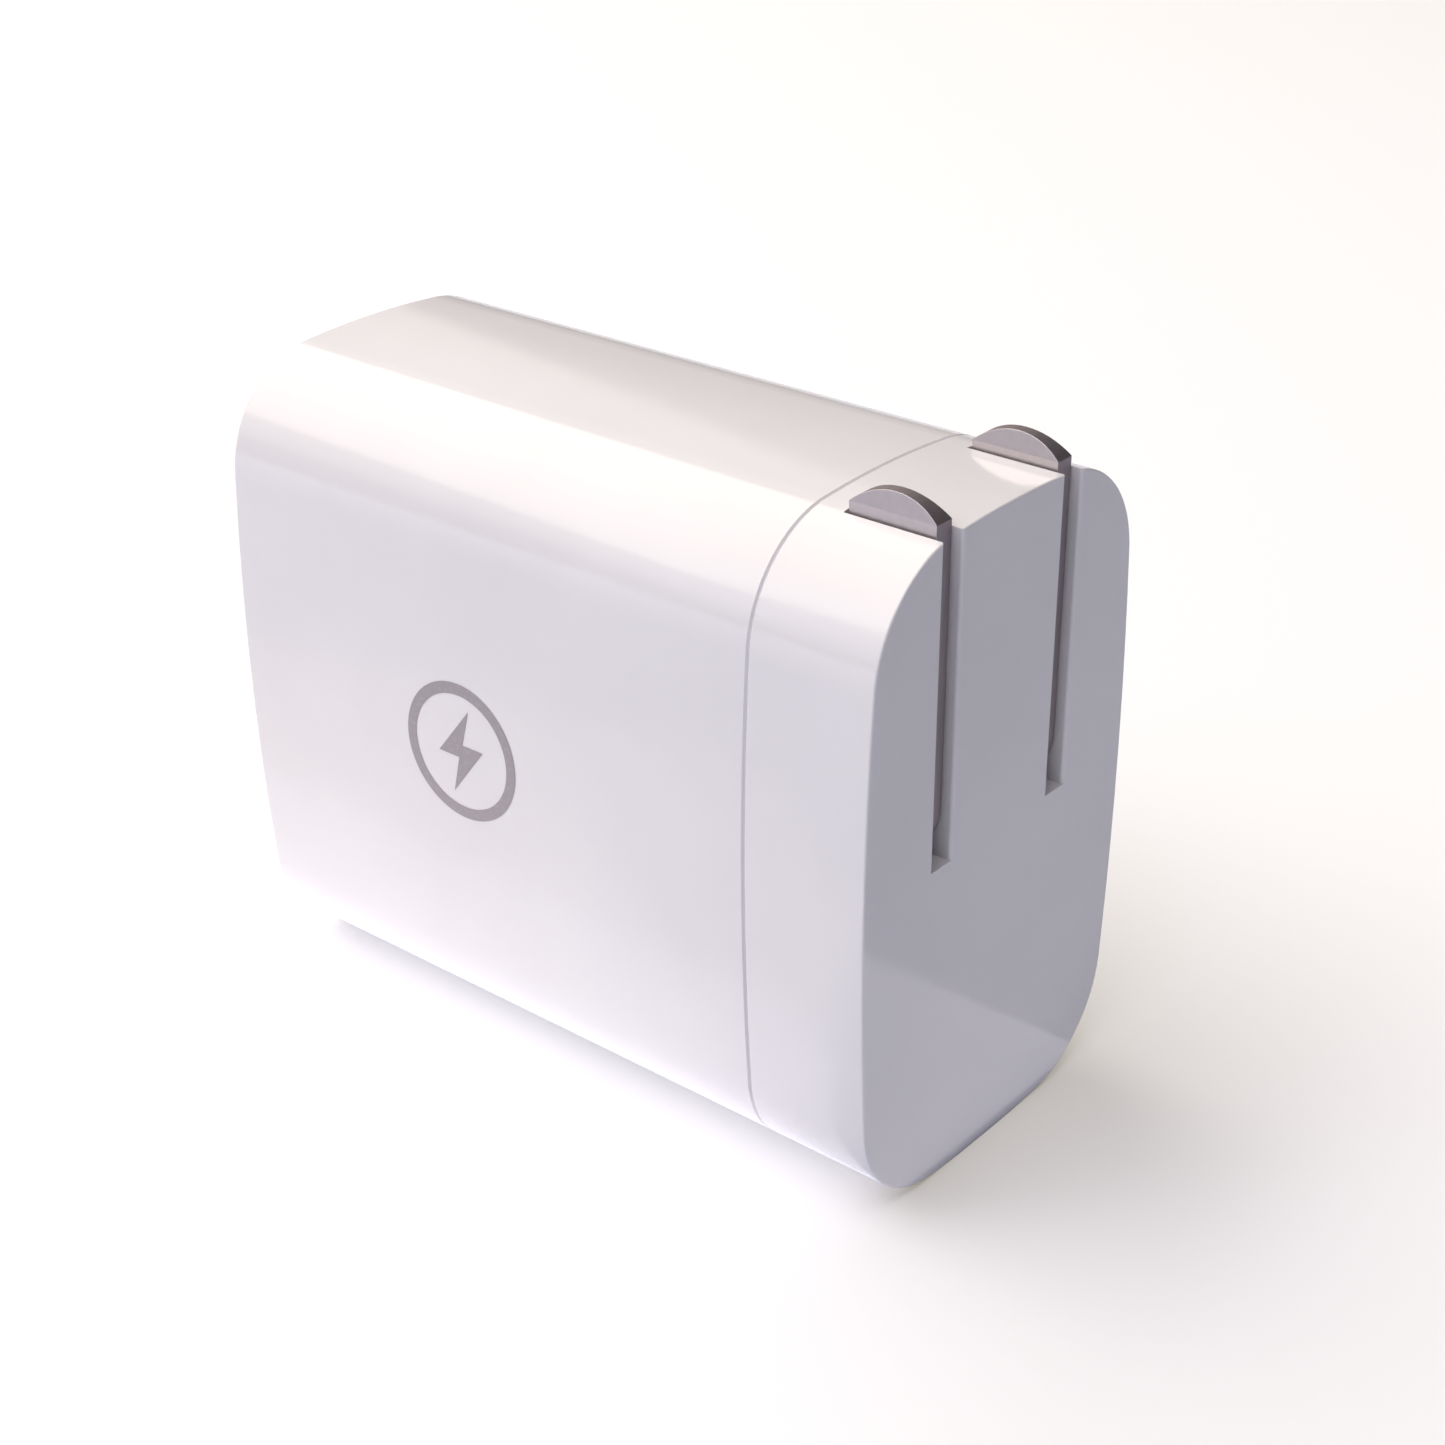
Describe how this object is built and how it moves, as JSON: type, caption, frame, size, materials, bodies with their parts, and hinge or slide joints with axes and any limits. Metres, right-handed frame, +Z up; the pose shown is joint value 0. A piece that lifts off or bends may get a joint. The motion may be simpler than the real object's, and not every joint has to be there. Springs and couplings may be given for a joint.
{
  "type": "usb wall charger",
  "caption": "White block wall charger with flat blades that fold up into slots in its end cap, and stacked power ports in its other end.",
  "frame": {"origin": "middle of the underside that the charger stands on, blades folded", "axes": "+Z up, X across the two blades, -Y out of the blade face, +Y out of the port face"},
  "size_m": [0.0286, 0.0558, 0.0483],
  "materials": {
    "shell_white": "high gloss moulded white polycarbonate",
    "cradle_plastic": "satin moulded light grey nylon",
    "blade_metal": "satin nickel plate over stamped brass",
    "black_plastic": "matt moulded black nylon",
    "steel": "bright zinc plate",
    "contact_brass": "bright stamped phosphor bronze",
    "board": "green solder resist over glass laminate",
    "fuse_body": "brown lacquer",
    "chip_black": "matt moulded epoxy",
    "capacitor_sleeve": "shrunk vinyl sleeve",
    "ferrite": "ground grey ferrite",
    "bobbin_plastic": "moulded phenolic",
    "winding_tape": "polyester winding tape",
    "can_aluminium": "drawn aluminium can",
    "disc_blue": "dipped blue epoxy",
    "port_steel": "nickel plated folded steel sheet",
    "tongue_plastic": "moulded white thermoplastic",
    "contact_gold": "gold flashed copper alloy"
  },
  "bodies": {
    "charger": {"main_housing": "shell_white", "front_cap": "shell_white", "blade_cradle": "cradle_plastic", "cradle_screws": "steel", "detent_spring": "steel", "line_contact": "contact_brass", "neutral_contact": "contact_brass", "main_board": "board", "port_board": "board", "fuse": "fuse_body", "bridge_rectifier": "chip_black", "reservoir_capacitor_upper": "capacitor_sleeve", "reservoir_capacitor_lower": "capacitor_sleeve", "input_choke": "chip_black", "transformer_core": "ferrite", "transformer_bobbin": "bobbin_plastic", "transformer_winding": "winding_tape", "control_chip": "chip_black", "output_rectifier": "chip_black", "output_capacitor_upper": "can_aluminium", "output_capacitor_lower": "can_aluminium", "safety_capacitor": "disc_blue", "port_shell_upper": "port_steel", "port_shell_lower": "port_steel", "port_tongue_upper": "tongue_plastic", "port_tongue_lower": "tongue_plastic", "port_contacts_upper": "contact_gold", "port_contacts_lower": "contact_gold"},
    "prongs": {"blade_left": "blade_metal", "blade_right": "blade_metal", "blade_carrier": "black_plastic"}
  },
  "joints": [
    {"name": "prong_fold", "type": "hinge", "parent": "charger", "child": "prongs", "pos_m": [0, -0.02395, 0.0277], "axis": [1, 0, 0], "range_deg": [0, 90]}
  ]
}
